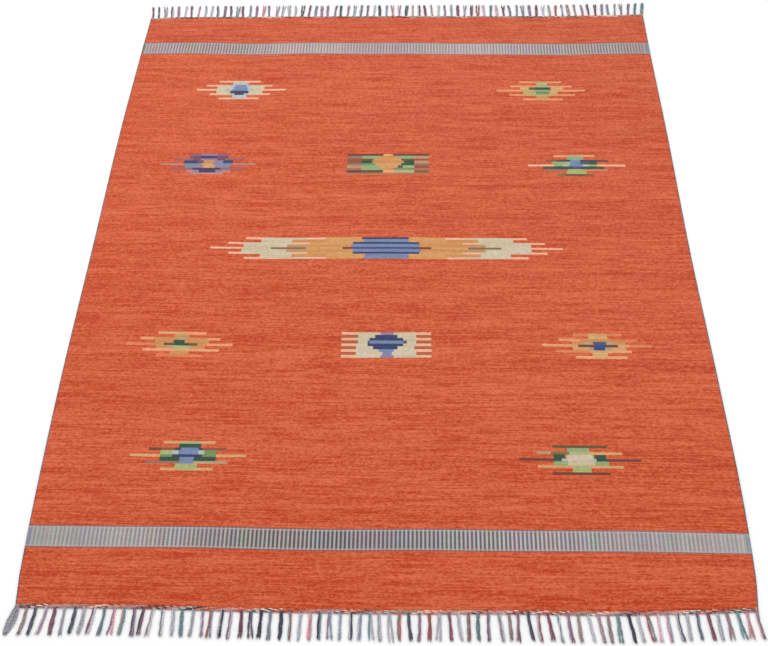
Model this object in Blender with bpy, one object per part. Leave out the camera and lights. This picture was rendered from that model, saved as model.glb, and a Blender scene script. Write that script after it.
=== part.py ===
"""A flat-woven kilim rug that lies flat, with a knotted fringe along each end.

The cloth lies with its underside at z = 0 and its middle over the origin. +Y runs along the
rug to its far end and +X runs across it. All lengths are in metres.
"""

import bisect
import random

import bpy

# The woven cloth, measured from corner to corner.
WOVEN_LENGTH = 2.000
WOVEN_WIDTH = 1.400
CLOTH_THICKNESS = 0.004
EDGE_ROUNDING = 0.001
# Each end and each selvedge is drawn in this many straight steps.
OUTLINE_STEPS = 36

# The fringe: one knotted row along each end, with the tassels that hang from it.
FRINGE_THICKNESS = 0.004
FRINGE_GAP = 0.0003
KNOT_ROW_DEPTH = 0.010
TASSELS_PER_END = 76
TASSEL_MARGIN = 0.004
TASSEL_SHIFT = 0.0012
LENGTH_SHIFT = 0.0015
# A power over 1 keeps a tassel straight at its root and bends it further out.
LEAN_BEND = 1.4

# How far each side swells out past half the woven width.
# along: -1 at the near end, 1 at the far end. left and right: metres outwards.
SIDE_SWELL = (
    # along, left, right
    (-1.00, 0.000, 0.000),
    (-0.96, 0.004, 0.005),
    (-0.90, 0.007, 0.008),
    (-0.70, 0.012, 0.012),
    (-0.40, 0.015, 0.009),
    (0.00, 0.013, 0.003),
    (0.45, 0.012, 0.003),
    (0.80, 0.005, 0.000),
    (1.00, 0.000, 0.000),
)

# How far each end swells out past half the woven length.
# across: -1 at the left corner, 1 at the right corner. near and far: metres outwards.
END_SWELL = (
    # across, near, far
    (-1.00, -0.001, -0.013),
    (-0.90, -0.001, -0.008),
    (-0.65, 0.000, -0.006),
    (-0.40, 0.005, -0.006),
    (0.00, 0.009, -0.006),
    (0.35, 0.008, -0.008),
    (0.60, 0.010, -0.009),
    (0.85, 0.005, -0.006),
    (1.00, 0.000, -0.002),
)

# A tassel's outline: share of its length from the knot row to the tip, and half its width.
TASSEL_SECTIONS = (
    # share, half_width
    (0.00, 0.0046),
    (0.10, 0.0029),
    (0.50, 0.0027),
    (0.90, 0.0035),
    (1.00, 0.0022),
)

# How far a tassel's tip leans towards the right, in metres.
TASSEL_LEAN = (
    # across, near, far
    (-1.00, -0.006, -0.011),
    (-0.93, -0.005, -0.002),
    (-0.70, -0.003, -0.001),
    (-0.40, 0.001, 0.000),
    (0.00, 0.001, 0.000),
    (0.35, 0.003, -0.001),
    (0.70, 0.005, 0.000),
    (0.93, 0.004, 0.003),
    (1.00, 0.003, 0.010),
)

# Each end's fringe: its side of the rug, the tassels' length from the knot row, how much
# further the tassel at the left corner leans, how much one tassel's lean differs from the
# next, and a seed.
FRINGE_ENDS = (
    # name, side, tassel_length, corner_lean, lean_shift, seed
    ("fringe_near", -1, 0.0570, -0.006, 0.0040, 11),
    ("fringe_far", 1, 0.0560, 0.000, 0.0040, 23),
)

RUST_ORANGE = (0.62, 0.11, 0.046, 1.0)
SLATE_GREY = (0.20, 0.21, 0.25, 1.0)
YARN_ROUGHNESS = 0.9


def smooth_between(table, place, column):
    """The value in this column at this place, on a smooth curve through the table's rows."""
    places = [row[0] for row in table]
    after = min(max(bisect.bisect_right(places, place), 1), len(table) - 1)
    before = after - 1

    def slope(index):
        low = max(index - 1, 0)
        high = min(index + 1, len(table) - 1)
        rise = table[high][column] - table[low][column]
        return rise / (places[high] - places[low])

    span = places[after] - places[before]
    t = (place - places[before]) / span
    start, end = table[before][column], table[after][column]
    leave = slope(before) * span
    arrive = slope(after) * span
    return (
        (2 * t**3 - 3 * t**2 + 1) * start
        + (t**3 - 2 * t**2 + t) * leave
        + (3 * t**2 - 2 * t**3) * end
        + (t**3 - t**2) * arrive
    )


def spaced(start, end):
    """Evenly spaced values from start to end, both included."""
    return [start + (end - start) * i / OUTLINE_STEPS for i in range(OUTLINE_STEPS + 1)]


def end_y(across, side):
    """The Y of the near (-1) or far (1) woven end, at this share of the half width."""
    column = 1 if side < 0 else 2
    return side * (WOVEN_LENGTH / 2 + smooth_between(END_SWELL, across, column))


def end_points(side):
    """The near (-1) or far (1) woven end, from left to right."""
    return [(across * WOVEN_WIDTH / 2, end_y(across, side)) for across in spaced(-1, 1)]


def selvedge_points(side):
    """The left (-1) or right (1) selvedge, from its near corner to its far one."""
    column = 1 if side < 0 else 2
    corners = end_y(side, -1), end_y(side, 1)
    points = []
    for along, y in zip(spaced(-1, 1), spaced(*corners)):
        points.append((side * (WOVEN_WIDTH / 2 + smooth_between(SIDE_SWELL, along, column)), y))
    return points


def woven_outline():
    """The cloth's outline, anticlockwise from its near left corner."""
    near, far = end_points(-1), end_points(1)
    left, right = selvedge_points(-1), selvedge_points(1)
    return near[:-1] + right[:-1] + far[:0:-1] + left[:0:-1]


def tassel_outline(root_x, root_y, side, length, lean):
    """One tassel's outline, from the knot row on its left, round its tip and back on its right."""
    left, right = [], []
    for share, half_width in TASSEL_SECTIONS:
        middle = root_x + lean * share**LEAN_BEND
        y = root_y + side * length * share
        left.append((middle - half_width, y))
        right.append((middle + half_width, y))
    return left + right[::-1]


def fringe_outline(end):
    """The comb's outline: along the woven end from the right, and back along the tassels."""
    _, side, tassel_length, corner_lean, lean_shift, seed = end
    lean_column = 1 if side < 0 else 2
    draw = random.Random(seed)
    points = [(x, y + side * FRINGE_GAP) for x, y in reversed(end_points(side))]
    first = TASSEL_MARGIN - WOVEN_WIDTH / 2
    pitch = (WOVEN_WIDTH - 2 * TASSEL_MARGIN) / (TASSELS_PER_END - 1)
    for i in range(TASSELS_PER_END):
        root_x = first + i * pitch + draw.uniform(-TASSEL_SHIFT, TASSEL_SHIFT)
        root_y = end_y(2 * root_x / WOVEN_WIDTH, side) + side * (FRINGE_GAP + KNOT_ROW_DEPTH)
        lean = smooth_between(TASSEL_LEAN, 2 * root_x / WOVEN_WIDTH, lean_column)
        lean += draw.uniform(-lean_shift, lean_shift) + (corner_lean if i == 0 else 0)
        length = tassel_length + draw.uniform(-LENGTH_SHIFT, LENGTH_SHIFT)
        points += tassel_outline(root_x, root_y, side, length, lean)
    return points


def yarn_material(name, colour):
    material = bpy.data.materials.new(name)
    material.use_nodes = True
    shader = material.node_tree.nodes["Principled BSDF"]
    shader.inputs["Base Color"].default_value = colour
    shader.inputs["Roughness"].default_value = YARN_ROUGHNESS
    shader.inputs["Metallic"].default_value = 0.0
    return material


def flat_piece(name, outline, thickness, rounding, colour, collection):
    """A flat sheet of this outline that lies on z = 0, with its rims rounded over."""
    curve = bpy.data.curves.new(name, "CURVE")
    curve.dimensions = "2D"
    curve.fill_mode = "BOTH"
    curve.extrude = thickness / 2 - rounding
    curve.bevel_depth = rounding
    curve.bevel_resolution = 1
    curve.offset = -rounding
    spline = curve.splines.new("POLY")
    spline.points.add(len(outline) - 1)
    for point, (x, y) in zip(spline.points, outline):
        point.co = (x, y, 0, 1)
    spline.use_cyclic_u = True
    curve.materials.append(yarn_material(name + "_yarn", colour))
    piece = bpy.data.objects.new(name, curve)
    piece.location = (0, 0, thickness / 2)
    collection.objects.link(piece)
    return piece


def clear_scene():
    for old in list(bpy.data.objects):
        bpy.data.objects.remove(old, do_unlink=True)


def main():
    clear_scene()
    rug = bpy.data.collections.new("kilim_rug")
    bpy.context.scene.collection.children.link(rug)
    flat_piece("woven_body", woven_outline(), CLOTH_THICKNESS, EDGE_ROUNDING, RUST_ORANGE, rug)
    for end in FRINGE_ENDS:
        flat_piece(end[0], fringe_outline(end), FRINGE_THICKNESS, 0, SLATE_GREY, rug)


main()
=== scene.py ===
"""The looks of a flat-woven kilim rug that lies flat: its cloth and its two knotted fringes.

The cloth is one closed mesh with a rib for every warp. Its rows follow the weaving, from the
near end to the far one: rust field, a grey ribbed band, the field with five rows of small
motifs, a second band, and field again. Each motif is charted in warps from its middle out.
Each fringe is one mesh of yarns: a twisted edge along the woven end, and the tassels that hang
from it. All lengths are in metres, in the frame's own axes: +Y runs along the rug to its far
end, +X across it, and its underside is at z = 0.
"""

import collections
import math
import random

import bpy
import numpy as np
from mathutils import Matrix, Vector


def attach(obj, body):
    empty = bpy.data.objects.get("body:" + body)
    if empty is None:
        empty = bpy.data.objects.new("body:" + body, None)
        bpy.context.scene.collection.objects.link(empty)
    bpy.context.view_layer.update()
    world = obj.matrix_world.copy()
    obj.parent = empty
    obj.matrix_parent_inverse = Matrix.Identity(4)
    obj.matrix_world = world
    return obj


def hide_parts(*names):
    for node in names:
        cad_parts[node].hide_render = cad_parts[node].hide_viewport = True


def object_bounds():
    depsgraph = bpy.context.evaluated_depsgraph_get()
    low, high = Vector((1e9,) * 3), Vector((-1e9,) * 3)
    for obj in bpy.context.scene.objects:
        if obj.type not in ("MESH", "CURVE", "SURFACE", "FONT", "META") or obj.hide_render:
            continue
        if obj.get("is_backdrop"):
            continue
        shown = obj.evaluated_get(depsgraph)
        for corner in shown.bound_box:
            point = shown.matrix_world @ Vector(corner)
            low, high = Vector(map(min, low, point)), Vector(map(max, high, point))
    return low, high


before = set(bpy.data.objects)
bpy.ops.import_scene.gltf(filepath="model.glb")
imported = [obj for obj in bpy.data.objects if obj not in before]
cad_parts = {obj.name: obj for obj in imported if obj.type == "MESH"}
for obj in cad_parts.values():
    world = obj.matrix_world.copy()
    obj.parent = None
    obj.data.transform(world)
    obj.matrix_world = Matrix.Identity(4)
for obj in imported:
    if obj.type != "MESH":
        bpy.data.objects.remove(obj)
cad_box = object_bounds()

# The cloth and the comb of each fringe, as the frame has them.
WOVEN_LENGTH = 2.000
WOVEN_WIDTH = 1.400
CLOTH_THICKNESS = 0.004
FRINGE_GAP = 0.0003
KNOT_ROW_DEPTH = 0.010
TASSELS_PER_END = 76
TASSEL_MARGIN = 0.004
TASSEL_SHIFT = 0.0012
LENGTH_SHIFT = 0.0015
LEAN_BEND = 1.4

# How far each side swells out past half the woven width.
SIDE_SWELL = (
    # along, left, right
    (-1.00, 0.000, 0.000),
    (-0.96, 0.004, 0.005),
    (-0.90, 0.007, 0.008),
    (-0.70, 0.012, 0.012),
    (-0.40, 0.015, 0.009),
    (0.00, 0.013, 0.003),
    (0.45, 0.012, 0.003),
    (0.80, 0.005, 0.000),
    (1.00, 0.000, 0.000),
)

# How far each end swells out past half the woven length.
END_SWELL = (
    # across, near, far
    (-1.00, -0.001, -0.013),
    (-0.90, -0.001, -0.008),
    (-0.65, 0.000, -0.006),
    (-0.40, 0.005, -0.006),
    (0.00, 0.009, -0.006),
    (0.35, 0.008, -0.008),
    (0.60, 0.010, -0.009),
    (0.85, 0.005, -0.006),
    (1.00, 0.000, -0.002),
)

# How far a tassel's tip leans towards the right, in metres.
TASSEL_LEAN = (
    # across, near, far
    (-1.00, -0.006, -0.011),
    (-0.93, -0.005, -0.002),
    (-0.70, -0.003, -0.001),
    (-0.40, 0.001, 0.000),
    (0.00, 0.001, 0.000),
    (0.35, 0.003, -0.001),
    (0.70, 0.005, 0.000),
    (0.93, 0.004, 0.003),
    (1.00, 0.003, 0.010),
)

FRINGE_ENDS = (
    # name, side, tassel_length, corner_lean, lean_shift, seed
    ("fringe_near", -1, 0.0570, -0.006, 0.0040, 11),
    ("fringe_far", 1, 0.0560, 0.000, 0.0040, 23),
)

# The weave. Each warp is one rib, drawn as two columns that meet at its crest.
WARPS = 342
WARP_PITCH = WOVEN_WIDTH / WARPS
WEFT_PITCH = 0.0032
RIB_DEPTH = 0.00030
BAND_RIB_DEPTH = 0.00050
FIELD_ROW = 0.060
END_ROW = 0.0025
RIM_DROP = 0.0009
RIM_REACH = 0.0005
UNDERSIDE_LIFT = 0.0002
SWELL_HEIGHT = 0.00035
# A woven end's own curve fades out this far into the cloth.
END_FADE = 0.16

# How far the weft rows climb for each metre across, at each place along the rug.
ROW_SLOPE = (
    # along, slope
    (-1.00, -0.004),
    (-0.84, -0.008),
    (-0.64, -0.012),
    (-0.31, -0.004),
    (0.00, -0.009),
    (0.33, -0.010),
    (0.65, -0.009),
    (1.00, -0.010),
)

# The bands, each of alternate light and dark ribs between two narrow lines.
BANDS = (
    # start, end, tone_column, warmth
    (-0.8725, -0.8185, 1, 4),
    (0.8110, 0.8680, 3, 8),
)
BAND_DARK_LINE = 0.0030
BAND_PALE_LINE = 0.0035
BAND_ROWS = 3
# How much of the ribs' own colour is left in the dark and the pale line.
DARK_LINE_RIBS = 0.25
PALE_LINE_RIBS = 0.35
# How far a rib's grey and its tint stray, and how much of the last rib's tint it keeps.
BAND_GREY_STRAY = 5
BAND_TINT_STRAY = 3.5
BAND_TINT_KEPT = 0.72

# Each band's middle grey and how far its light and dark ribs differ from it, across the rug.
BAND_TONES = (
    # across, near_middle, near_contrast, far_middle, far_contrast
    (-1.00, 160, 10, 160, 20),
    (-0.70, 160, 20, 150, 30),
    (-0.35, 130, 40, 170, 20),
    (0.00, 130, 40, 160, 20),
    (0.35, 150, 40, 170, 20),
    (0.70, 160, 20, 150, 30),
    (1.00, 170, 10, 150, 20),
)

# Each band's last ribs, at the left and at the right selvedge, are of one plain yarn.
BAND_ENDS = (
    # tone_column, left_warps, left_yarn, right_warps, right_yarn
    (1, 2, "band_lilac", 2, "teal_grey"),
    (3, 1, "plum_grey", 3, "band_lilac"),
)

# Yarn colours, as red, green and blue from 0 to 255.
YARNS = {
    "rust": (208, 88, 51),
    "clay": (188, 112, 78),
    "ember": (224, 128, 82),
    "brick": (184, 92, 60),
    "cream": (208, 192, 164),
    "shell": (238, 182, 148),
    "mist": (184, 186, 184),
    "ash": (168, 166, 160),
    "sky": (118, 134, 168),
    "navy": (46, 60, 104),
    "blue": (46, 68, 126),
    "royal": (62, 76, 138),
    "slate": (58, 66, 80),
    "steel": (72, 86, 116),
    "indigo": (68, 54, 100),
    "plum": (112, 74, 104),
    "lilac": (152, 126, 152),
    "mauve": (156, 92, 102),
    "rose": (198, 132, 124),
    "apricot": (236, 160, 112),
    "straw": (216, 164, 108),
    "gold": (214, 154, 96),
    "amber": (208, 142, 84),
    "tan": (196, 142, 104),
    "fawn": (182, 158, 124),
    "sage": (180, 172, 124),
    "lime": (174, 178, 118),
    "mint": (150, 170, 122),
    "leaf": (116, 142, 92),
    "bottle": (46, 78, 60),
    "moss": (98, 82, 50),
    "olive": (130, 110, 64),
    "umber": (112, 60, 50),
    "bark": (144, 82, 56),
    "taupe": (158, 112, 96),
    "edge_blue": (90, 94, 112),
    "teal_grey": (146, 154, 160),
    "plum_grey": (104, 84, 92),
    "band_lilac": (140, 140, 160),
    "band_dark": (138, 78, 72),
    "band_pale": (188, 172, 174),
}

# The fringe's yarns, as red, green and blue from 0 to 255, and how often each is drawn.
FRINGE_YARNS = (
    # red, green, blue, share
    (188, 186, 194, 6),
    (146, 156, 170, 5),
    (124, 150, 154, 4),
    (98, 100, 116, 4),
    (166, 136, 156, 4),
    (210, 160, 170, 3),
    (140, 98, 112, 3),
    (174, 108, 102, 2),
    (76, 76, 88, 2),
    (164, 148, 144, 3),
    (202, 200, 210, 3),
)
EDGE_YARNS = (
    # red, green, blue, share
    (232, 208, 188, 2),
    (216, 156, 144, 4),
    (120, 66, 58, 2),
    (176, 140, 120, 3),
    (190, 140, 146, 3),
    (112, 140, 128, 2),
    (200, 96, 70, 5),
    (70, 62, 68, 2),
    (180, 166, 170, 1),
)

# A motif has this many lines, and every other one has the long arms.
MOTIF_LINES = 9
LONG_LINES = 5

# Each motif row: its middle, the mean height of a line, and how high a line with long arms is
# beside that mean.
MOTIF_ROWS = (
    # middle, line_height, arm_share
    (0.6454, 0.0094, 0.80),
    (0.3265, 0.0093, 0.84),
    (0.0100, 0.0084, 0.80),
    (-0.3110, 0.0087, 0.92),
    (-0.6375, 0.0088, 0.80),
)

# Each motif's row, its middle across the rug, and its nine lines from the far one to the near
# one. A line lists its yarns from the motif's middle out, each with its width in warps. Where
# its right half differs from its left, the right half follows a bar.
MOTIFS = (
    (0, -0.4155, (
        "cream 4 shell 9",
        "mist 5",
        "sky 3 mist 4 cream 6 shell 8",
        "sky 5 mist 3 cream 7",
        "sky 5 mist 2 ash 1 cream 7 shell 13 | sky 5 mist 2 ash 1 cream 7 shell 15",
        "navy 6 cream 8",
        "slate 3 mist 3 cream 7 shell 7",
        "mist 5",
        "cream 5 shell 8",
    )),
    (0, 0.392, (
        "straw 4 apricot 9",
        "sage 4",
        "sage 4 straw 7 apricot 9",
        "bottle 5 moss 2 straw 7",
        "mint 5 straw 9 apricot 14",
        "leaf 5 lime 8 | leaf 5 straw 5",
        "lime 4 straw 8 apricot 9",
        "amber 4",
        "straw 4 apricot 9",
    )),
    (1, -0.470, (
        "lilac 5 mauve 7",
        "indigo 5 plum 7",
        "lilac 5 plum 5 mauve 12",
        "amber 3 plum 4 navy 8 | amber 3 lilac 6 navy 6",
        "gold 3 lilac 3 sky 9 rose 15",
        "straw 3 lilac 5 sky 6",
        "indigo 5 navy 4 mauve 13",
        "indigo 5 lilac 4 rose 4",
        "rose 10",
    )),
    (1, -0.0145, (
        "apricot 3 umber 22",
        "amber 5 mint 11 taupe 9 | amber 5 mint 11 tan 9",
        "gold 8 moss 8 bark 9",
        "amber 9 leaf 1 bottle 6 bark 9 | amber 9 leaf 1 bottle 6 tan 9",
        "gold 8 leaf 8 taupe 9 | gold 8 bottle 8 taupe 9",
        "gold 6 mint 10 tan 9 | gold 6 moss 2 mint 8 bark 9",
        "amber 3 mint 13 taupe 9 | amber 3 leaf 13 clay 9",
        "apricot 3 moss 13 umber 9 | apricot 3 sage 13 bark 9",
        "clay 25",
    )),
    (1, 0.4580, (
        "sage 5 apricot 8",
        "mint 5",
        "sky 3 bottle 8 bark 7 | sky 3 slate 12 umber 4",
        "sky 4 ash 2 mint 7 | sky 4 steel 4 bottle 6",
        "sky 4 mist 4 mint 5 shell 16",
        "steel 3 bottle 10 moss 7 | steel 3 bottle 9 umber 6",
        "lime 5 taupe 14 | lime 5 tan 14",
        "lime 5",
        "moss 6 olive 6 | moss 4 bark 7",
    )),
    (2, -0.0125, (
        "indigo 13 gold 21 shell 12 cream 25 shell 10",
        "sky 13 gold 21 amber 20 cream 18",
        "navy 19 gold 25 shell 10 cream 28 shell 9",
        "sky 19 amber 26 tan 12 cream 25",
        "royal 19 umber 6 gold 22 olive 19 cream 16 shell 19",
        "sky 19 amber 26 tan 12 cream 25",
        "navy 19 gold 25 shell 10 cream 28 shell 9",
        "sky 13 gold 21 amber 20 cream 18",
        "sky 13 gold 21 shell 12 cream 25 shell 10",
    )),
    (3, -0.467, (
        "straw 3 apricot 10",
        "amber 4",
        "fawn 3 amber 11 apricot 9 | fawn 3 amber 11 apricot 7",
        "bottle 3 amber 12",
        "bottle 3 moss 6 amber 6 ember 14 | bottle 3 moss 6 amber 6 apricot 13",
        "lime 4 fawn 3 amber 6",
        "straw 4 apricot 16",
        "amber 5",
        "ember 12",
    )),
    (3, -0.0075, (
        "lilac 3 cream 13 shell 8",
        "navy 6 cream 10 brick 8",
        "navy 9 cream 7 shell 8",
        "sky 9 steel 1 cream 6 brick 8",
        "navy 9 cream 7 shell 8",
        "navy 6 cream 10 brick 8",
        "sky 4 cream 12 shell 8",
        "sky 3 cream 13 brick 8",
        "lilac 3 cream 13 shell 8",
    )),
    (3, 0.461, (
        "straw 5 ember 8",
        "straw 5",
        "amber 9 apricot 12 | amber 9 ember 12",
        "steel 3 fawn 5 amber 6",
        "blue 3 umber 7 straw 6 apricot 13 | blue 3 umber 7 straw 6 ember 12",
        "blue 3 fawn 4 straw 7",
        "straw 5 ember 18 | straw 5 apricot 12",
        "straw 4",
        "straw 4 apricot 9",
    )),
    (4, -0.4140, (
        "sage 5 straw 8",
        "bottle 5",
        "sky 5 bottle 2 bark 7 umber 6 | sky 5 bottle 2 bark 13",
        "sky 5 mist 3 lime 6 | sky 5 mist 3 leaf 6",
        "navy 5 slate 3 leaf 6 straw 15",
        "sky 4 bottle 10",
        "sky 4 taupe 16 | sky 4 fawn 16",
        "lime 5",
        "lime 4 straw 9",
    )),
    (4, 0.396, (
        "moss 13",
        "mint 5",
        "sage 5 olive 9 fawn 7 | sage 5 straw 17",
        "cream 5 sage 1 moss 1 bottle 6",
        "cream 6 mist 3 bottle 5 umber 16",
        "cream 6 mint 8",
        "lime 5 straw 16",
        "lime 5",
        "umber 13",
    )),
)

# The two box-shaped motifs have straight sides.
EVEN_SIDED = (3, 7)
MOTIF_SEED = 5
BAND_SEED = 8

# How strongly the flecks in the wool show: in full in the field, and less in the motifs.
FIELD_HEATHER = 1.0
MOTIF_HEATHER = 0.26
BAND_HEATHER = 0.12

# The twisted edge: three strands of two yarns that wind along the woven end.
EDGE_STRANDS = 3
EDGE_TWIST = EDGE_STRANDS * (WOVEN_WIDTH - 2 * TASSEL_MARGIN) / (TASSELS_PER_END - 1)
EDGE_MIDDLE = 0.0042
EDGE_SWING = 0.0022
EDGE_HEIGHT = 0.0027
EDGE_RISE = 0.0008
EDGE_YARN_RADIUS = 0.00125
EDGE_YARN_TWIST = 0.014
EDGE_YARN_SPREAD = 0.0011
EDGE_YARN_RISE = 0.0005
EDGE_YARN_SIDES = 7
WARP_END_RADIUS = 0.0008
WARP_END_SIDES = 5
EDGE_RINGS = 20
EDGE_OVERLAP = 0.002

# The tassels: two pairs of yarns each, which part towards the tip.
YARN_RADIUS = 0.00120
YARN_RINGS = 21
YARN_SIDES = 8
YARN_LOBES = 0.14
YARN_TWIST = 0.018
PAIR_RADIUS = 0.00095
TIP_FIBRES = 3
FIBRE_RADIUS = 0.00022
KNOT_SHARE = 0.25
KNOT_RADIUS = 0.0025
KNOT_RISE = 0.0017
KNOT_MIDDLE = 0.0026
KNOT_START = 0.001
KNOT_DEPTH = 0.0016
KNOT_YARN_RADIUS = 0.0009
KNOT_RINGS = 15
SECOND_COLOUR_SHARE = 0.55
TASSEL_OFFSET = 0.0016
TASSEL_PARTINGS = (0, 0, 0, 0, 0.0005, 0.0010, 0.0022)
CORNER_OFFSETS = (-0.0068, -0.0034, 0, 0.0034, 0.0068)
CORNER_GREY = (164, 162, 168)
TASSEL_ROOT = 0.0064

# The camera stands in front of the near end and looks down along the rug.
CAMERA_PLACE = (0.0618, -2.6083, 2.3405)
CAMERA_PITCH = 44.626
CAMERA_YAW = 1.831
CAMERA_ROLL = 1.255
LENS = 69.32
SENSOR = 36.0

FLOOR_SIZE = 16.0
FLOOR_DROP = 0.0003
FLOOR_WHITE = 1.00
WORLD_STRENGTH = 0.71
# Soft boxes over the rug.
LIGHTS = (
    # name, place, size, watts
    ("key_light", (-1.4, 1.4, 3.2), 3.0, 53),
    ("fill_light", (1.6, -1.2, 3.0), 3.0, 18),
)

# The patches of lighter and darker wool in the cloth.
WOOL_NOISES = (
    # length_across, width_along, offset, detail, gain
    (0.090, 0.0036, 0.0, 1.0, 1.80),
    (0.0085, 0.0040, 7.3, 1.0, 1.50),
    (0.200, 0.0130, 5.2, 1.0, 0.85),
    (1.200, 0.0450, 3.1, 2.0, 0.65),
)
BEAD_GAIN = 0.45
WOOL_DARK = (0.79, 0.41, 0.08, 1)
WOOL_LIGHT = (1.21, 1.59, 1.92, 1)
# The fringe yarn's two ends of shade: the dark one is painted shade in the plies' grooves and the
# fibres' own darker tone, the light one a painted highlight on the plies' crests and the fibres'
# own paler tone.
FRINGE_GROOVE_SHADE_AND_DARK_FIBRE = (0.62, 0.60, 0.62, 1)
FRINGE_CREST_HIGHLIGHT_AND_PALE_FIBRE = (1.28, 1.28, 1.28, 1)

UNDERSIDE_SHARE = 0.27
UV_EDGE = 0.006
UV_SCALE = 0.488

Row = collections.namedtuple("Row", "end colours heather rib_depth")


def linear(red, green, blue):
    """A colour from 0 to 255 on screen, as linear light."""
    share = np.array((red, green, blue), float) / 255
    return np.where(share <= 0.04045, share / 12.92, ((share + 0.055) / 1.055) ** 2.4)


def smooth_between(table, place, column):
    """The column's value at each place, on a smooth curve through the table's rows."""
    places = np.array([row[0] for row in table])
    values = np.array([row[column] for row in table], float)
    last = len(table) - 1
    low = np.maximum(np.arange(last + 1) - 1, 0)
    high = np.minimum(np.arange(last + 1) + 1, last)
    slopes = (values[high] - values[low]) / (places[high] - places[low])
    after = np.clip(np.searchsorted(places, place, side="right"), 1, last)
    before = after - 1
    span = places[after] - places[before]
    t = (place - places[before]) / span
    return (
        (2 * t**3 - 3 * t**2 + 1) * values[before]
        + (t**3 - 2 * t**2 + t) * slopes[before] * span
        + (3 * t**2 - 2 * t**3) * values[after]
        + (t**3 - t**2) * slopes[after] * span
    )


def end_y(across, side):
    """The Y of the near (-1) or far (1) woven end, at this share of the half width."""
    column = 1 if side < 0 else 2
    return side * (WOVEN_LENGTH / 2 + smooth_between(END_SWELL, across, column))


def side_x(along, side):
    """The X of the left (-1) or right (1) selvedge, at this share of the half length."""
    column = 1 if side < 0 else 2
    return side * (WOVEN_WIDTH / 2 + smooth_between(SIDE_SWELL, along, column))


def fade(distance):
    """1 at a woven end, and 0 from END_FADE inwards."""
    t = np.clip(distance / END_FADE, 0, 1)
    return 1 - t * t * (3 - 2 * t)


def weft_wander(x, y):
    """How far a weft row strays along the rug from its even place."""
    slow = 0.0012 * np.sin(7.3 * x + 2.1 * y + 0.8) + 0.0008 * np.sin(15.1 * x - 5.3 * y + 2.4)
    far = np.clip((y - 0.6) / 0.25, 0, 1)
    return slow + far * (0.0016 * np.sin(9.7 * x + 1.2) + 0.0010 * np.sin(21.3 * x + 0.4))


def lay(x, y):
    """Where a point of the even weaving comes to lie on the floor."""
    across = x / (WOVEN_WIDTH / 2)
    along = y / (WOVEN_LENGTH / 2)
    clipped_across = np.clip(across, -1, 1)
    clipped_along = np.clip(along, -1, 1)
    left, right = side_x(clipped_along, -1), side_x(clipped_along, 1)
    laid_x = left + (right - left) * (across + 1) / 2
    near, far = fade(WOVEN_LENGTH / 2 + y), fade(WOVEN_LENGTH / 2 - y)
    near_shift = end_y(clipped_across, -1) + WOVEN_LENGTH / 2
    far_shift = end_y(clipped_across, 1) - WOVEN_LENGTH / 2
    inner_shift = smooth_between(ROW_SLOPE, clipped_along, 1) * laid_x + weft_wander(x, y)
    laid_y = y + near * near_shift + far * far_shift + (1 - near - far) * inner_shift
    return laid_x, laid_y


def swell(x, y):
    """Soft, shallow unevenness of the cloth's face."""
    waves = (
        np.sin(11.0 * x + 4.0 * y + 0.5) * np.sin(9.0 * y - 2.0 * x)
        + 0.7 * np.sin(23.0 * x - 7.0 * y + 1.1) * np.sin(14.0 * y + 2.0)
        + 0.5 * np.sin(37.0 * y + 5.0 * x)
    )
    return SWELL_HEIGHT * waves


# The weaving, row by row.


def plain_row(yarn):
    return np.tile(linear(*YARNS[yarn]), (2 * WARPS, 1))


def column_at(x, y):
    """The warp that lies at this x of the floor, at this place along the rug."""
    along = y / (WOVEN_LENGTH / 2)
    left, right = side_x(along, -1), side_x(along, 1)
    return int(round(WARPS * float((x - left) / (right - left))))


def motif_line(colours, middle, text, ragged, draw):
    """Weaves one line of a motif into a row, both ways from its middle warp.

    Where two yarns meet, and at the outer end of a ragged line, the place strays by a warp.
    """
    halves = text.split("|")
    for way, half in ((-1, halves[0]), (1, halves[-1])):
        words = half.split()
        runs = list(zip(words[::2], map(int, words[1::2])))
        reach = charted = 0
        for number, (yarn, width) in enumerate(runs):
            charted += width
            strays = ragged or number < len(runs) - 1
            stray = draw.choice((-1, 0, 0, 0, 0, 1)) if strays else 0
            stop = max(charted + stray, reach + 1)
            ends = sorted((2 * (middle + way * reach), 2 * (middle + way * stop)))
            colours[ends[0] : ends[1]] = linear(*YARNS[yarn])
            reach = stop


def edge_warps(colours):
    """The half warp along each selvedge is slate blue."""
    colours[0] = colours[-1] = linear(*YARNS["edge_blue"])
    return colours


def field_rows(start, end):
    count = max(1, round((end - start) / FIELD_ROW))
    colours = edge_warps(plain_row("rust"))
    ends = [start + (end - start) * (i + 1) / count for i in range(count)]
    return [Row(y, colours, FIELD_HEATHER, RIB_DEPTH) for y in ends]


def band_ribs(column, warmth, draw):
    """Alternate light and dark ribs, one a warp, whose greys and tints change across the rug."""
    across = (2 * np.arange(WARPS) + 1) / WARPS - 1
    middle = smooth_between(BAND_TONES, across, column)
    contrast = smooth_between(BAND_TONES, across, column + 1)
    light = np.where(np.arange(WARPS) % 2 == 0, 1, -1)
    colours = np.empty((WARPS, 3))
    tint = np.zeros(3)
    for warp in range(WARPS):
        strays = [draw.uniform(-BAND_TINT_STRAY, BAND_TINT_STRAY) for _ in range(3)]
        tint = BAND_TINT_KEPT * tint + np.array(strays)
        grey = middle[warp] + light[warp] * contrast[warp]
        grey += draw.uniform(-BAND_GREY_STRAY, BAND_GREY_STRAY)
        warm_tint = np.array((warmth, -warmth / 2, -warmth / 2)) + tint
        colours[warp] = linear(*np.clip(grey + warm_tint, 0, 255))
    for band, left, left_yarn, right, right_yarn in BAND_ENDS:
        if band == column:
            colours[:left] = linear(*YARNS[left_yarn])
            colours[-right:] = linear(*YARNS[right_yarn])
    return np.repeat(colours, 2, axis=0)


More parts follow.
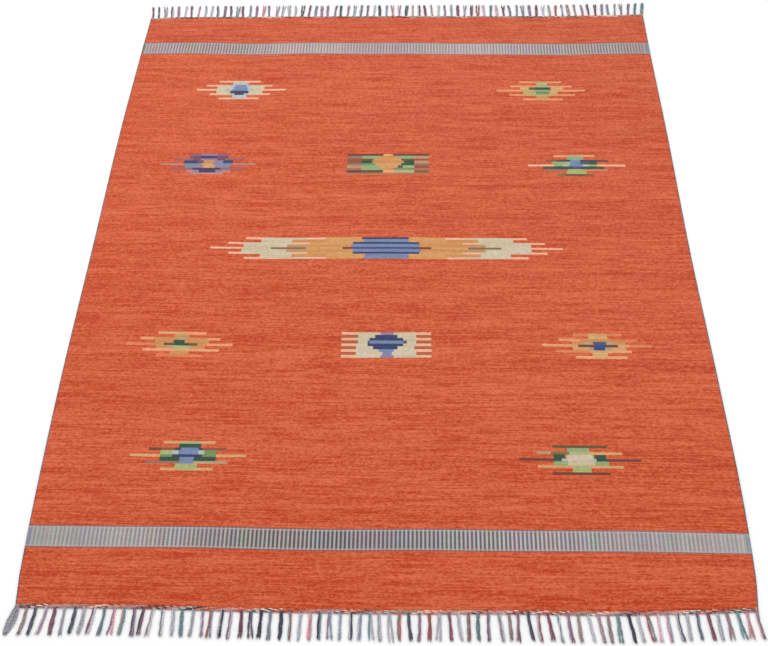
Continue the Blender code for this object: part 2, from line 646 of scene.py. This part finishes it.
def band_rows(start, end, column, warmth, draw):
    """A band: a dark line, a pale line, the ribs, and the two lines again."""
    ribs = band_ribs(column, warmth, draw)
    dark = (1 - DARK_LINE_RIBS) * plain_row("band_dark") + DARK_LINE_RIBS * ribs
    dark = edge_warps(dark)
    pale = (1 - PALE_LINE_RIBS) * plain_row("band_pale") + PALE_LINE_RIBS * ribs
    pale_end = start + BAND_DARK_LINE + BAND_PALE_LINE
    ribs_end = end - BAND_DARK_LINE - BAND_PALE_LINE
    ribs_step = (ribs_end - pale_end) / BAND_ROWS
    rows = [Row(start + BAND_DARK_LINE, dark, BAND_HEATHER, RIB_DEPTH)]
    rows.append(Row(pale_end, pale, BAND_HEATHER, BAND_RIB_DEPTH))
    for i in range(BAND_ROWS):
        rows.append(Row(pale_end + (i + 1) * ribs_step, ribs, BAND_HEATHER, BAND_RIB_DEPTH))
    rows.append(Row(end - BAND_DARK_LINE, pale, BAND_HEATHER, BAND_RIB_DEPTH))
    rows.append(Row(end, dark, BAND_HEATHER, RIB_DEPTH))
    return rows


def motif_rows(number, draw):
    """The nine lines of one row of motifs, from the near one to the far one."""
    middle, height, arm_share = MOTIF_ROWS[number]
    between_share = (MOTIF_LINES - LONG_LINES * arm_share) / (MOTIF_LINES - LONG_LINES)
    y = middle - MOTIF_LINES / 2 * height
    rows = []
    for line in range(MOTIF_LINES):
        colours = edge_warps(plain_row("rust"))
        heather = np.full(2 * WARPS, FIELD_HEATHER)
        before = colours.copy()
        for which, (motif_row, x, chart) in enumerate(MOTIFS):
            if motif_row == number:
                ragged = which not in EVEN_SIDED
                text = chart[-1 - line]
                motif_line(colours, column_at(x, middle), text, ragged, draw)
        heather[(colours != before).any(axis=1)] = MOTIF_HEATHER
        y += height * (arm_share if line % 2 == 0 else between_share)
        rows.append(Row(y, colours, heather, RIB_DEPTH))
    return rows


def cloth_rows():
    """Every row of the cloth, from its near end to its far end."""
    draw = random.Random(MOTIF_SEED)
    band_draw = random.Random(BAND_SEED)
    y = -WOVEN_LENGTH / 2
    rows = field_rows(y, y + END_ROW)
    parts = list(BANDS)
    for number, (middle, height, _) in enumerate(MOTIF_ROWS):
        half = MOTIF_LINES / 2 * height
        parts.append((middle - half, middle + half, number))
    for start, end, *kind in sorted(parts):
        rows += field_rows(rows[-1].end, start)
        if len(kind) == 2:
            rows += band_rows(start, end, *kind, band_draw)
        else:
            rows += motif_rows(*kind, draw)
    rows += field_rows(rows[-1].end, WOVEN_LENGTH / 2 - END_ROW)
    rows += field_rows(WOVEN_LENGTH / 2 - END_ROW, WOVEN_LENGTH / 2)
    return rows


# The cloth's mesh.


def grid_faces(index):
    """Quads of a grid of point numbers, seen anticlockwise from above."""
    corners = index[:-1, :-1], index[:-1, 1:], index[1:, 1:], index[1:, :-1]
    return np.stack(corners, axis=-1).reshape(-1, 4)


def face_heights(x, y, rib_depths):
    """Z of the cloth's face: crests and valleys of the ribs, soft swells, and a low rim."""
    valley = np.zeros(x.shape)
    valley[:, ::2] = 1
    height = CLOTH_THICKNESS + swell(x, y) - valley * rib_depths[:, None]
    height[0] -= RIM_DROP
    height[-1] -= RIM_DROP
    height[:, 0] -= RIM_DROP
    height[:, -1] -= RIM_DROP
    return height


def cloth_points(rows):
    """Points of the cloth in the even weaving (x, y) and their heights: face, rim, underside."""
    columns = 2 * WARPS + 1
    line_x = np.linspace(-WOVEN_WIDTH / 2, WOVEN_WIDTH / 2, columns)
    line_y = np.array([-WOVEN_LENGTH / 2] + [row.end for row in rows])
    depths = np.array([rows[0].rib_depth] + [row.rib_depth for row in rows])
    x, y = np.meshgrid(line_x, line_y)
    face = np.stack((x, y, face_heights(x, y, depths)), axis=-1)
    under = face[:, ::2].copy()
    under[..., 2] = UNDERSIDE_LIFT
    rim_z = CLOTH_THICKNESS / 2
    reach_x = WOVEN_WIDTH / 2 + RIM_REACH
    reach_y = WOVEN_LENGTH / 2 + RIM_REACH
    near = [(px, -reach_y, rim_z) for px in line_x[::2]]
    far = [(px, reach_y, rim_z) for px in line_x[::2]]
    left = [(-reach_x, py, rim_z) for py in line_y[1:-1]]
    right = [(reach_x, py, rim_z) for py in line_y[1:-1]]
    return face, under, np.array(near + far + left + right)


def rim_faces(face, under, rim, rows):
    """The faces between the face's edge, the rim and the underside's edge, all the way round."""
    warps = under.shape[1]
    near, far = rim[:warps], rim[warps : 2 * warps]
    sides = rim[2 * warps :].reshape(2, -1)
    left = np.concatenate(([near[0]], sides[0], [far[0]]))
    right = np.concatenate(([near[-1]], sides[1], [far[-1]]))
    upper, lower = [], []
    for k in range(warps - 1):
        top = face[0, 2 * k : 2 * k + 3][::-1]
        upper.append([near[k], near[k + 1], *top])
        lower.append([under[0, k], under[0, k + 1], near[k + 1], near[k]])
        upper.append([far[k + 1], far[k], *face[-1, 2 * k : 2 * k + 3]])
        lower.append([under[-1, k + 1], under[-1, k], far[k], far[k + 1]])
    for i in range(len(rows)):
        upper.append([left[i + 1], left[i], face[i, 0], face[i + 1, 0]])
        lower.append([under[i + 1, 0], under[i, 0], left[i], left[i + 1]])
        upper.append([right[i], right[i + 1], face[i + 1, -1], face[i, -1]])
        lower.append([under[i, -1], under[i + 1, -1], right[i + 1], right[i]])
    return upper, lower


def rim_colours(rows):
    """The yarn of each rim face: rust along the ends, slate blue along the selvedges."""
    end = [*linear(*YARNS["rust"]), FIELD_HEATHER]
    edge = [*linear(*YARNS["edge_blue"]), MOTIF_HEATHER]
    return np.array([end] * (2 * WARPS) + [edge] * (2 * len(rows)))


def face_colours(rows):
    """Yarn colour and heather of each column of each row."""
    table = np.empty((len(rows), 2 * WARPS, 4))
    for i, row in enumerate(rows):
        table[i, :, :3] = row.colours
        table[i, :, 3] = row.heather
    return table


def bake_map(points, underside):
    """The cloth's own flat map: the face along one side of the square, the underside beside it."""
    along = UV_EDGE + (points[:, 1] + WOVEN_LENGTH / 2 + RIM_REACH) * UV_SCALE
    across = (points[:, 0] + WOVEN_WIDTH / 2 + RIM_REACH) / (WOVEN_WIDTH + 2 * RIM_REACH)
    face_height = WOVEN_WIDTH * UV_SCALE
    start = np.where(underside, face_height + 3 * UV_EDGE, UV_EDGE)
    height = np.where(underside, UNDERSIDE_SHARE, face_height)
    return np.stack((along, start + across * height), axis=-1)


def sharpen_valleys(mesh, face):
    """Marks the line between two ribs sharp, so that each rib shades as a round one."""
    ends = np.empty(2 * len(mesh.edges), np.int32)
    mesh.edges.foreach_get("vertices", ends)
    ends = ends.reshape(-1, 2)
    columns = face.shape[1]
    on_face = (ends < face.size).all(axis=1)
    one_line = (ends[:, 0] % columns) == (ends[:, 1] % columns)
    valley = on_face & one_line & (ends[:, 0] % columns % 2 == 0)
    sharp = mesh.attributes.new("sharp_edge", "BOOLEAN", "EDGE")
    sharp.data.foreach_set("value", valley)


def woven_cloth():
    rows = cloth_rows()
    face, under, rim = cloth_points(rows)
    even = np.concatenate([part.reshape(-1, 3) for part in (face, under, rim)])
    face_index = np.arange(face[..., 0].size).reshape(face.shape[:2])
    under_index = face_index.size + np.arange(under[..., 0].size).reshape(under.shape[:2])
    rim_index = face_index.size + under_index.size + np.arange(len(rim))
    upper, lower = rim_faces(face_index, under_index, rim_index, rows)
    face_quads = grid_faces(face_index).tolist()
    under_quads = grid_faces(under_index)[:, ::-1].tolist()
    faces = face_quads + upper + under_quads + lower

    laid_x, laid_y = lay(even[:, 0], even[:, 1])
    mesh = bpy.data.meshes.new("woven_cloth")
    mesh.from_pydata(np.stack((laid_x, laid_y, even[:, 2]), axis=-1), [], faces)

    top = face_colours(rows)
    rims = rim_colours(rows)
    bottom = top[:, ::2].reshape(-1, 4)
    yarns = np.concatenate((top.reshape(-1, 4), rims, bottom, rims))
    corners = np.array([len(f) for f in faces])
    colour = mesh.attributes.new("yarn", "FLOAT_COLOR", "CORNER")
    colour.data.foreach_set("color", np.repeat(yarns, corners, axis=0).ravel())
    cloth = mesh.attributes.new("cloth", "FLOAT_VECTOR", "POINT")
    cloth.data.foreach_set("vector", even.ravel())
    numbers = np.concatenate([np.array(f) for f in faces])
    underside = np.repeat(np.arange(len(faces)) >= len(face_quads) + len(upper), corners)
    uv = mesh.uv_layers.new(name="OFBake")
    uv.data.foreach_set("uv", bake_map(even[numbers], underside).ravel())
    mesh.shade_smooth()
    sharpen_valleys(mesh, face_index)
    mesh.materials.append(wool_material())
    return link(bpy.data.objects.new("woven_cloth", mesh))


# The fringes.


class Yarns:
    """Yarns gathered as closed tubes, to be made into one mesh."""

    def __init__(self):
        self.points = []
        self.faces = []
        self.colours = []
        self.strands = []
        self.cells = []
        self.used = 0
        self.tubes = 0

    def add(self, route, radii, colour, sides=YARN_SIDES, axis=(0, 0, 1), lobes=0, twist=1):
        """One yarn along a route of points. Its lobes, if any, turn once in each twist."""
        route = np.asarray(route, float)
        tangents = np.gradient(route, axis=0)
        tangents /= np.linalg.norm(tangents, axis=1)[:, None]
        across = np.cross(tangents, axis)
        across /= np.linalg.norm(across, axis=1)[:, None]
        up = np.cross(across, tangents)
        steps = np.linalg.norm(np.diff(route, axis=0), axis=1)
        along = np.concatenate(([0], np.cumsum(steps)))
        around = np.arange(sides) / sides
        turned = 2 * math.pi * (around[None, :] + along[:, None] / twist * (lobes > 0))
        widths = np.broadcast_to(radii, len(route))[:, None]
        widths = widths * (1 + lobes * np.cos(4 * math.pi * around))[None, :]
        rings = (
            route[:, None, :]
            + (widths * np.cos(turned))[..., None] * across[:, None, :]
            + (widths * np.sin(turned))[..., None] * up[:, None, :]
        )
        self.points.append(rings.reshape(-1, 3))
        self._connect(len(route), sides, along, colour)

    def _connect(self, count, sides, along, colour):
        length = along[-1]
        for i in range(count - 1):
            for k in range(sides):
                near, far = self.used + i * sides, self.used + (i + 1) * sides
                after = (k + 1) % sides
                self.faces.append((near + k, near + after, far + after, far + k))
                low, high = along[i] / length, along[i + 1] / length
                for share, place in ((k, low), (k + 1, low), (k + 1, high), (k, high)):
                    self._corner(share / sides, place, length, colour)
        last = self.used + (count - 1) * sides
        self.faces.append(tuple(range(self.used + sides - 1, self.used - 1, -1)))
        self.faces.append(tuple(range(last, last + sides)))
        for k in range(sides - 1, -1, -1):
            self._corner(k / sides, 0, length, colour)
        for k in range(sides):
            self._corner(k / sides, 1, length, colour)
        self.used += count * sides
        self.tubes += 1

    def _corner(self, around, share, length, colour):
        self.cells.append((self.tubes, around, share))
        self.strands.append((around, share * length, self.tubes))
        self.colours.append((*colour, 1))

    def bake_map(self):
        """Each yarn in a cell of its own, in a square grid of cells."""
        cells = np.array(self.cells)
        across = math.ceil(math.sqrt(self.tubes))
        inner = 0.08 + 0.84 * cells[:, 1:]
        u = (cells[:, 0] % across + inner[:, 0]) / across
        v = (cells[:, 0] // across + inner[:, 1]) / across
        return np.stack((u, v), axis=-1)

    def piece(self, name, material):
        mesh = bpy.data.meshes.new(name)
        mesh.from_pydata(np.concatenate(self.points), [], self.faces)
        colour = mesh.attributes.new("yarn", "FLOAT_COLOR", "CORNER")
        colour.data.foreach_set("color", np.array(self.colours).ravel())
        strand = mesh.attributes.new("strand", "FLOAT_VECTOR", "CORNER")
        strand.data.foreach_set("vector", np.array(self.strands).ravel())
        uv = mesh.uv_layers.new(name="OFBake")
        uv.data.foreach_set("uv", self.bake_map().ravel())
        mesh.shade_smooth()
        mesh.materials.append(material)
        return link(bpy.data.objects.new(name, mesh))


def drawn_colour(draw, palette):
    """A yarn's colour from a palette, a little lighter or darker than its neighbours."""
    row = draw.choices(palette, weights=[entry[3] for entry in palette])[0]
    return linear(*row[:3]) * draw.uniform(0.85, 1.2)


def edge_strand(yarns, side, start, draw):
    """One turn of one strand of the twisted edge: two yarns that wind about each other."""
    colours = drawn_colour(draw, EDGE_YARNS), drawn_colour(draw, EDGE_YARNS)
    half = WOVEN_WIDTH / 2
    first = max(start - EDGE_OVERLAP, -half)
    last = min(start + EDGE_TWIST + EDGE_OVERLAP, half)
    if last - first < 4 * EDGE_OVERLAP:
        return
    x = np.linspace(first, last, EDGE_RINGS)
    turn = 2 * math.pi * (x - start) / EDGE_TWIST
    edge = end_y(x / half, side)
    y = edge + side * (FRINGE_GAP + EDGE_MIDDLE + EDGE_SWING * np.sin(turn))
    z = EDGE_HEIGHT - EDGE_RISE * np.cos(turn)
    for number, colour in enumerate(colours):
        wind = 2 * math.pi * x / EDGE_YARN_TWIST + math.pi * number
        yarn_y = y + EDGE_YARN_SPREAD * np.cos(wind)
        yarn_z = z + EDGE_YARN_RISE * np.sin(wind)
        route = np.stack((x, yarn_y, yarn_z), axis=-1)
        yarns.add(route, EDGE_YARN_RADIUS, colour, sides=EDGE_YARN_SIDES)


def twisted_edge(yarns, side, draw):
    for strand in range(EDGE_STRANDS):
        start = -WOVEN_WIDTH / 2 - EDGE_TWIST * strand / EDGE_STRANDS
        while start < WOVEN_WIDTH / 2:
            edge_strand(yarns, side, start, draw)
            start += EDGE_TWIST


def warp_ends(yarns, side, draw):
    """Pairs of warps that run from the woven end into the twisted edge."""
    for pair in range(WARPS // 2):
        x = WARP_PITCH * (2 * pair + 1) - WOVEN_WIDTH / 2
        lean = draw.uniform(0.0015, 0.0035)
        edge = float(end_y(2 * x / WOVEN_WIDTH, side))
        route = [
            (x, edge - side * 0.0006, 0.0021),
            (x + 0.4 * lean, edge + side * 0.0012, 0.0023),
            (x + lean, edge + side * 0.0040, 0.0022),
        ]
        colour = drawn_colour(draw, EDGE_YARNS)
        yarns.add(route, WARP_END_RADIUS, colour, sides=WARP_END_SIDES)


def tip_fibres(yarns, tip, direction, colour, draw):
    """A few fibres that fray out of a yarn's cut end."""
    for _ in range(TIP_FIBRES):
        reach = draw.uniform(0.002, 0.005)
        spread = draw.uniform(-0.35, 0.35)
        rise = draw.uniform(-0.05, 0.15)
        ahead = np.array((direction[0] + spread, direction[1], 0))
        start = tip - 0.001 * ahead
        end = tip + reach * ahead
        end[2] = max(tip[2] + reach * rise, FIBRE_RADIUS)
        middle = (start + end) / 2 + np.array((draw.uniform(-4e-4, 4e-4), 0, 2e-4))
        route = [start, middle, end]
        yarns.add(route, (FIBRE_RADIUS, FIBRE_RADIUS, 0.5 * FIBRE_RADIUS), colour, sides=3)


def tassel_pair(yarns, root, side, length, lean, offsets, colours, draw):
    """Two yarns of a tassel that wind slowly about each other on their way to the tip.

    The offsets say how far to the side of the tassel's middle line they run.
    """
    share = np.linspace(0, 1, YARN_RINGS)
    bend = draw.uniform(-0.0015, 0.0015)
    own_length = length * draw.uniform(0.96, 1.01)
    middle_x = root[0] + lean * share**LEAN_BEND + bend * np.sin(math.pi * share) + offsets
    y = root[1] + side * own_length * share
    base_z = 1.3 * YARN_RADIUS + PAIR_RADIUS
    start_angle = draw.uniform(0, 2 * math.pi)
    turns = draw.uniform(0.6, 1.4) * draw.choice((-1, 1))
    for number, colour in enumerate(colours):
        wind = start_angle + 2 * math.pi * turns * share + math.pi * number
        x = middle_x + PAIR_RADIUS * (1 + 0.2 * share**3) * np.cos(wind)
        z = base_z + PAIR_RADIUS * np.sin(wind)
        z = z + 0.0004 * (1 - share) ** 4
        route = np.stack((x, y, z), axis=-1)
        radii = YARN_RADIUS * (1.0 + 0.08 * share)
        radii[-1] *= 0.55
        yarns.add(route, radii, colour, lobes=YARN_LOBES, twist=YARN_TWIST)
        direction = route[-1] - route[-2]
        direction /= np.linalg.norm(direction)
        tip_fibres(yarns, route[-1], direction, colour, draw)


def tassel_knot(yarns, root, side, draw):
    """A yarn wound once and a half round the top of a tassel."""
    angle = np.linspace(0, 3 * math.pi, KNOT_RINGS) + draw.uniform(0, math.pi)
    x = root[0] + KNOT_RADIUS * np.cos(angle)
    y = root[1] + side * (KNOT_START + KNOT_DEPTH * np.linspace(0, 1, KNOT_RINGS))
    z = KNOT_MIDDLE + KNOT_RISE * np.sin(angle)
    colour = 0.6 * drawn_colour(draw, FRINGE_YARNS)
    route = np.stack((x, y, z), axis=-1)
    yarns.add(route, KNOT_YARN_RADIUS, colour, sides=6, axis=(0, 1, 0))


def tassel(yarns, root, side, length, lean, draw):
    """One tassel: two pairs of yarns side by side, which may part towards the tip."""
    main = drawn_colour(draw, FRINGE_YARNS)
    mixed = draw.random() < SECOND_COLOUR_SHARE
    other = drawn_colour(draw, FRINGE_YARNS) if mixed else 0.85 * main
    parting = draw.choice(TASSEL_PARTINGS)
    share = np.linspace(0, 1, YARN_RINGS)
    for way, colour in ((-1, main), (1, other)):
        splay = way * parting + draw.uniform(-0.0005, 0.0005)
        offsets = way * TASSEL_OFFSET * (0.75 + 0.25 * share) + splay * share**1.5
        twin = colour * draw.uniform(0.85, 1.2)
        tassel_pair(yarns, root, side, length, lean, offsets, (colour, twin), draw)
    if draw.random() < KNOT_SHARE:
        tassel_knot(yarns, root, side, draw)


def corner_tassel(yarns, root, side, length, lean, draw):
    """The full grey tassel at the near left corner: it swells to its middle and closes again."""
    share = np.linspace(0, 1, YARN_RINGS)
    for place in CORNER_OFFSETS:
        offsets = place * (0.35 + 0.65 * np.sin(math.pi * share) ** 0.8)
        grey = linear(*CORNER_GREY) * draw.uniform(0.75, 1.25)
        twin = grey * draw.uniform(0.8, 1.2)
        tassel_pair(yarns, root, side, length, lean, offsets, (grey, twin), draw)


def fringe(end, material):
    """One end's fringe. Its tassels follow the same draws as the comb's teeth."""
    name, side, tassel_length, corner_lean, lean_shift, seed = end
    lean_column = 1 if side < 0 else 2
    comb_draw = random.Random(seed)
    draw = random.Random(seed + 100)
    yarns = Yarns()
    twisted_edge(yarns, side, draw)
    warp_ends(yarns, side, draw)
    first = TASSEL_MARGIN - WOVEN_WIDTH / 2
    pitch = (WOVEN_WIDTH - 2 * TASSEL_MARGIN) / (TASSELS_PER_END - 1)
    for i in range(TASSELS_PER_END):
        root_x = first + i * pitch + comb_draw.uniform(-TASSEL_SHIFT, TASSEL_SHIFT)
        edge = float(end_y(2 * root_x / WOVEN_WIDTH, side))
        lean = float(smooth_between(TASSEL_LEAN, 2 * root_x / WOVEN_WIDTH, lean_column))
        lean += comb_draw.uniform(-lean_shift, lean_shift) + (corner_lean if i == 0 else 0)
        reach = KNOT_ROW_DEPTH - TASSEL_ROOT + tassel_length
        length = reach + comb_draw.uniform(-LENGTH_SHIFT, LENGTH_SHIFT)
        root = (root_x, edge + side * (FRINGE_GAP + TASSEL_ROOT))
        shape = corner_tassel if corner_lean and i == 0 else tassel
        shape(yarns, root, side, length, lean, draw)
    return yarns.piece(name + "_yarns", material)


# Materials.


def node_maker(material):
    """Two helpers for a material's node tree: one adds a node, the other a maths node."""
    tree = material.node_tree

    def add(kind, **settings):
        node = tree.nodes.new(kind)
        for key, value in settings.items():
            setattr(node, key, value)
        return node

    def feed(socket, value):
        if isinstance(value, bpy.types.NodeSocket):
            tree.links.new(value, socket)
        else:
            socket.default_value = value

    def maths(operation, *values):
        node = add("ShaderNodeMath", operation=operation)
        for socket, value in zip(node.inputs, values):
            feed(socket, value)
        return node.outputs[0]

    return add, feed, maths


def new_material(name, roughness, sheen, sheen_tint):
    material = bpy.data.materials.new(name)
    material.use_nodes = True
    shader = material.node_tree.nodes["Principled BSDF"]
    shader.inputs["Roughness"].default_value = roughness
    shader.inputs["Specular IOR Level"].default_value = 0.15
    shader.inputs["Sheen Weight"].default_value = sheen
    shader.inputs["Sheen Roughness"].default_value = 0.6
    shader.inputs["Sheen Tint"].default_value = sheen_tint
    return material, shader


def wool_material():
    """Heathered wool in a weft-faced weave: flecked beads of weft over the ribs of the warps."""
    material, shader = new_material("woven_wool", 0.9, 0.16, (1.0, 0.90, 0.74, 1))
    add, feed, maths = node_maker(material)
    yarn = add("ShaderNodeAttribute", attribute_name="yarn")
    cloth = add("ShaderNodeAttribute", attribute_name="cloth")
    place = add("ShaderNodeSeparateXYZ")
    feed(place.inputs[0], cloth.outputs["Vector"])
    warps = maths("DIVIDE", place.outputs["X"], WARP_PITCH)
    column = maths("FLOOR", warps)
    stagger = maths("MULTIPLY", maths("PINGPONG", column, 1.0), 0.5)
    wefts = maths("ADD", maths("DIVIDE", place.outputs["Y"], WEFT_PITCH), stagger)
    bead = maths("FLOOR", wefts)

    # Each bead of weft has its own lightness, and longer patches follow the wefts.
    bead_cell = add("ShaderNodeCombineXYZ")
    feed(bead_cell.inputs["X"], column)
    feed(bead_cell.inputs["Y"], bead)
    bead_noise = add("ShaderNodeTexWhiteNoise", noise_dimensions="3D")
    feed(bead_noise.inputs["Vector"], bead_cell.outputs[0])

    def stretched_noise(along_x, along_y, offset, detail):
        """Noise whose patches are this long and this wide, with a mean of about a half."""
        cell = add("ShaderNodeCombineXYZ")
        feed(cell.inputs["X"], maths("DIVIDE", place.outputs["X"], along_x))
        feed(cell.inputs["Y"], maths("DIVIDE", place.outputs["Y"], along_y))
        feed(cell.inputs["Z"], offset)
        noise = add("ShaderNodeTexNoise", noise_dimensions="3D")
        feed(noise.inputs["Vector"], cell.outputs[0])
        feed(noise.inputs["Scale"], 1.0)
        feed(noise.inputs["Detail"], detail)
        feed(noise.inputs["Roughness"], 0.5)
        return noise.outputs[0]

    def centred(value, gain):
        return maths("MULTIPLY", maths("SUBTRACT", value, 0.5), gain)

    light = centred(bead_noise.outputs["Value"], BEAD_GAIN)
    for across, along, offset, detail, gain in WOOL_NOISES:
        light = maths("ADD", light, centred(stretched_noise(across, along, offset, detail), gain))
    light = maths("MULTIPLY", light, yarn.outputs["Alpha"])
    light = maths("ADD", light, 0.5)
    shade = add("ShaderNodeMix", data_type="RGBA", clamp_factor=True)
    feed(shade.inputs["Factor"], light)
    feed(shade.inputs["A"], WOOL_DARK)
    feed(shade.inputs["B"], WOOL_LIGHT)
    coloured = add("ShaderNodeMix", data_type="RGBA", blend_type="MULTIPLY")
    feed(coloured.inputs["Factor"], 1.0)
    feed(coloured.inputs["A"], yarn.outputs["Color"])
    feed(coloured.inputs["B"], shade.outputs["Result"])
    feed(shader.inputs["Base Color"], coloured.outputs["Result"])

    # The weft's beads stand up between the crossings, and fine fibres break them up.
    rib = maths("ABSOLUTE", maths("SINE", maths("MULTIPLY", warps, math.pi)))
    dome = maths("ABSOLUTE", maths("SINE", maths("MULTIPLY", wefts, math.pi)))
    height = maths("MULTIPLY", maths("POWER", rib, 0.5), maths("POWER", dome, 0.6))
    fibres = stretched_noise(0.0030, 0.0006, 1.7, 2.0)
    height = maths("ADD", height, maths("MULTIPLY", fibres, 0.5))
    bump = add("ShaderNodeBump")
    feed(bump.inputs["Strength"], 0.80)
    feed(bump.inputs["Distance"], 0.0008)
    feed(bump.inputs["Height"], height)
    feed(shader.inputs["Normal"], bump.outputs["Normal"])
    return material


def yarn_material():
    """Plied fringe yarn: slanting plies with a painted highlight on each crest and painted shade
    in the grooves between them, and loose fibres.
    """
    material, shader = new_material("fringe_yarn", 0.9, 0.10, (0.9, 0.9, 0.95, 1))
    add, feed, maths = node_maker(material)
    yarn = add("ShaderNodeAttribute", attribute_name="yarn")
    strand = add("ShaderNodeAttribute", attribute_name="strand")
    place = add("ShaderNodeSeparateXYZ")
    feed(place.inputs[0], strand.outputs["Vector"])
    around, along, number = (place.outputs[axis] for axis in "XYZ")
    slant = maths("ADD", maths("MULTIPLY", around, 2.0), maths("MULTIPLY", along, 250.0))
    ply = maths("ABSOLUTE", maths("SINE", maths("MULTIPLY", slant, math.pi)))
    cell = add("ShaderNodeCombineXYZ")
    feed(cell.inputs["X"], maths("MULTIPLY", around, 5.0))
    feed(cell.inputs["Y"], maths("MULTIPLY", along, 260.0))
    feed(cell.inputs["Z"], maths("MULTIPLY", number, 3.7))
    noise = add("ShaderNodeTexNoise", noise_dimensions="3D")
    feed(noise.inputs["Vector"], cell.outputs[0])
    feed(noise.inputs["Scale"], 1.0)
    feed(noise.inputs["Detail"], 2.0)
    fibre = noise.outputs[0]
    # Painted shade in the grooves between the plies and a painted highlight on their crests, mixed
    # with the fibres' own random tone.
    light = maths("ADD", maths("MULTIPLY", ply, 0.45), maths("MULTIPLY", fibre, 0.75))
    shade = add("ShaderNodeMix", data_type="RGBA", clamp_factor=True)
    feed(shade.inputs["Factor"], light)
    feed(shade.inputs["A"], FRINGE_GROOVE_SHADE_AND_DARK_FIBRE)
    feed(shade.inputs["B"], FRINGE_CREST_HIGHLIGHT_AND_PALE_FIBRE)
    coloured = add("ShaderNodeMix", data_type="RGBA", blend_type="MULTIPLY")
    feed(coloured.inputs["Factor"], 1.0)
    feed(coloured.inputs["A"], yarn.outputs["Color"])
    feed(coloured.inputs["B"], shade.outputs["Result"])
    feed(shader.inputs["Base Color"], coloured.outputs["Result"])
    bump = add("ShaderNodeBump")
    feed(bump.inputs["Strength"], 0.6)
    feed(bump.inputs["Distance"], 0.0003)
    feed(bump.inputs["Height"], maths("ADD", ply, maths("MULTIPLY", fibre, 0.6)))
    feed(shader.inputs["Normal"], bump.outputs["Normal"])
    return material


def floor_material():
    material = bpy.data.materials.new("pale_floor")
    material.use_nodes = True
    shader = material.node_tree.nodes["Principled BSDF"]
    shader.inputs["Base Color"].default_value = (FLOOR_WHITE, FLOOR_WHITE, FLOOR_WHITE, 1)
    shader.inputs["Roughness"].default_value = 1.0
    shader.inputs["Specular IOR Level"].default_value = 0.0
    return material


# The stage.


def link(obj):
    bpy.context.scene.collection.objects.link(obj)
    return obj


def make_camera():
    pitch, yaw, roll = (math.radians(a) for a in (CAMERA_PITCH, CAMERA_YAW, CAMERA_ROLL))
    right = Vector((math.cos(yaw), math.sin(yaw), 0))
    ahead = Vector((-math.sin(yaw), math.cos(yaw), 0))
    forward = math.cos(pitch) * ahead - math.sin(pitch) * Vector((0, 0, 1))
    up = right.cross(forward)
    rolled_right = math.cos(roll) * right - math.sin(roll) * up
    rolled_up = math.sin(roll) * right + math.cos(roll) * up
    turn = Matrix((rolled_right, rolled_up, -forward)).transposed().to_4x4()
    data = bpy.data.cameras.new("camera")
    data.lens = LENS
    data.sensor_width = SENSOR
    camera = link(bpy.data.objects.new("camera", data))
    camera.matrix_world = Matrix.Translation(CAMERA_PLACE) @ turn
    bpy.context.scene.camera = camera


def make_floor():
    half = FLOOR_SIZE / 2
    corners = [(-half, -half), (half, -half), (half, half), (-half, half)]
    mesh = bpy.data.meshes.new("floor")
    mesh.from_pydata([(x, y, -FLOOR_DROP) for x, y in corners], [], [(0, 1, 2, 3)])
    mesh.materials.append(floor_material())
    floor = link(bpy.data.objects.new("floor", mesh))
    floor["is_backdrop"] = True


def make_lights():
    world = bpy.data.worlds.new("studio")
    world.use_nodes = True
    background = world.node_tree.nodes["Background"]
    background.inputs["Color"].default_value = (1, 1, 1, 1)
    background.inputs["Strength"].default_value = WORLD_STRENGTH
    bpy.context.scene.world = world
    for name, place, size, watts in LIGHTS:
        data = bpy.data.lights.new(name, "AREA")
        data.size = size
        data.energy = watts
        light = link(bpy.data.objects.new(name, data))
        light.location = place
        light.rotation_euler = Vector(place).to_track_quat("Z", "Y").to_euler()
    bpy.context.scene.view_settings.view_transform = "Standard"


make_camera()
make_floor()
make_lights()

fringe_wool = yarn_material()
for fringe_end in FRINGE_ENDS:
    end_fringe = fringe(fringe_end, fringe_wool)
    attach(end_fringe, "root")
    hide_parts(fringe_end[0])

rug_cloth = woven_cloth()
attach(rug_cloth, "root")
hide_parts("woven_body")

boxes = {"cad": cad_box, "visual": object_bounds()}
sizes = {name: [list(map(float, corner)) for corner in box] for name, box in boxes.items()}
